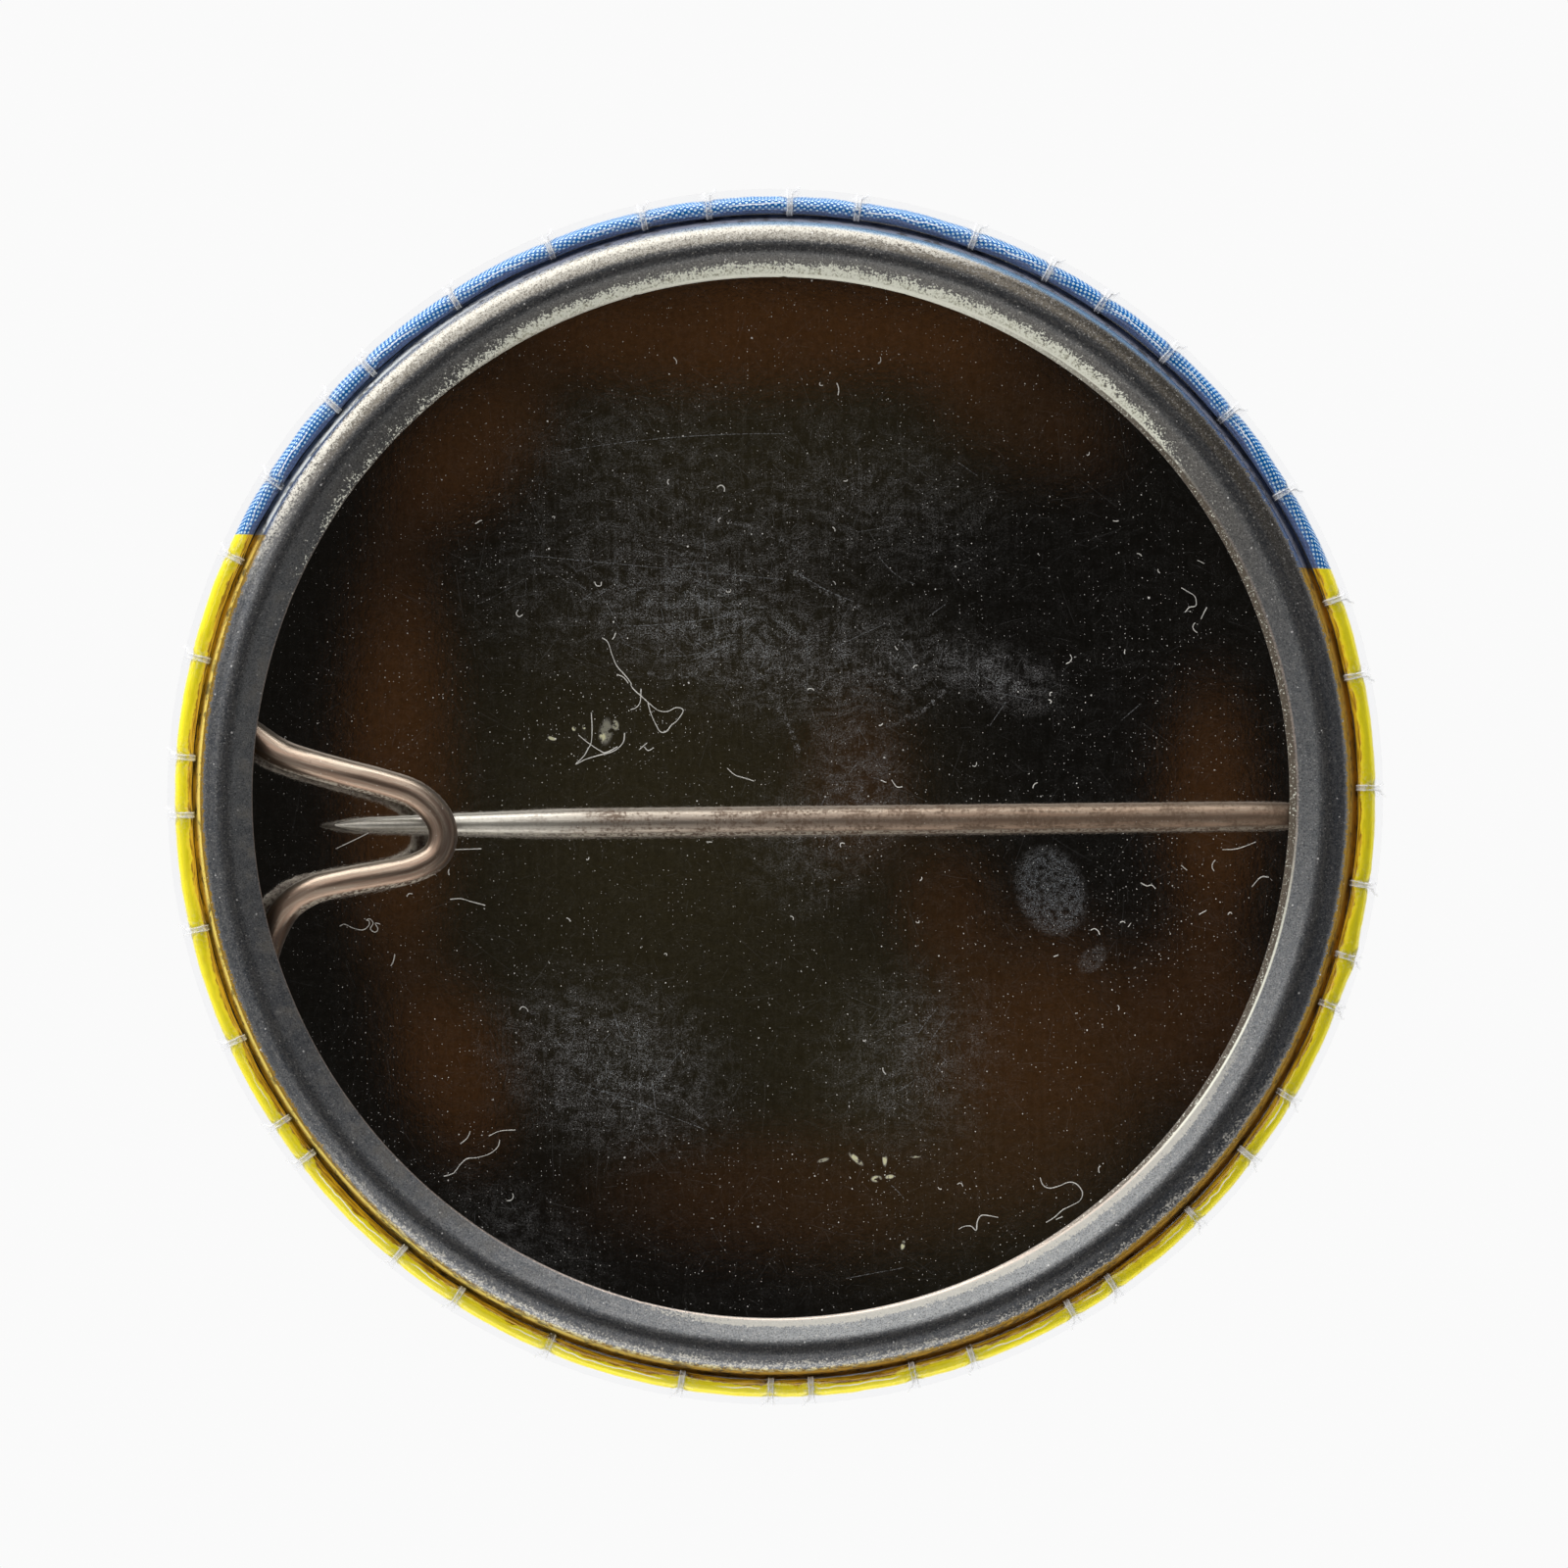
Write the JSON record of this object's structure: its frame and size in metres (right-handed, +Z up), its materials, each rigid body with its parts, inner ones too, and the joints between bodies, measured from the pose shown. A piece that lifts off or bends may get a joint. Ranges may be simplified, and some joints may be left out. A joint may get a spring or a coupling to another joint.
{
  "type": "pin-back button badge",
  "caption": "Round domed button badge with an open back, a rolled collet and a sprung wire pin held under a wire catch loop.",
  "frame": {"origin": "the lowest point of the domed front, in the middle of the badge, on the surface that it lies on", "axes": "+Z is up, out of the open back; X runs along the closed pin, with its point towards -X; +Y is towards the blue half of the print"},
  "size_m": [0.038, 0.038, 0.005],
  "materials": {
    "bright_tinplate": "bright tinplate, dusty and finely scratched",
    "printed_paper": "printed yellow below a level line and halftone blue above it",
    "clear_film": "thin clear film, glossy, with small pleats round the rim",
    "worn_tinplate": "satin, worn grey, with pale speckled corrosion at its edges",
    "tarnished_wire": "drawn wire with a coppery brown tarnish",
    "pin_wire": "drawn wire, coppery at the root and silvery at the point"
  },
  "bodies": {
    "badge": {"front_shell": "bright_tinplate", "printed_disc": "printed_paper", "clear_film": "clear_film", "collet_ring": "worn_tinplate", "spring_wire": "tarnished_wire"},
    "pin": {"pin_arm": "pin_wire"}
  },
  "joints": [
    {"name": "pin_hinge", "type": "hinge", "parent": "badge", "child": "pin", "pos_m": [0.0159, -0.00075, 0.0036], "axis": [0.9397, 0, -0.342], "range_deg": [0, 180], "stiffness_Nm_per_rad": 0.01}
  ]
}
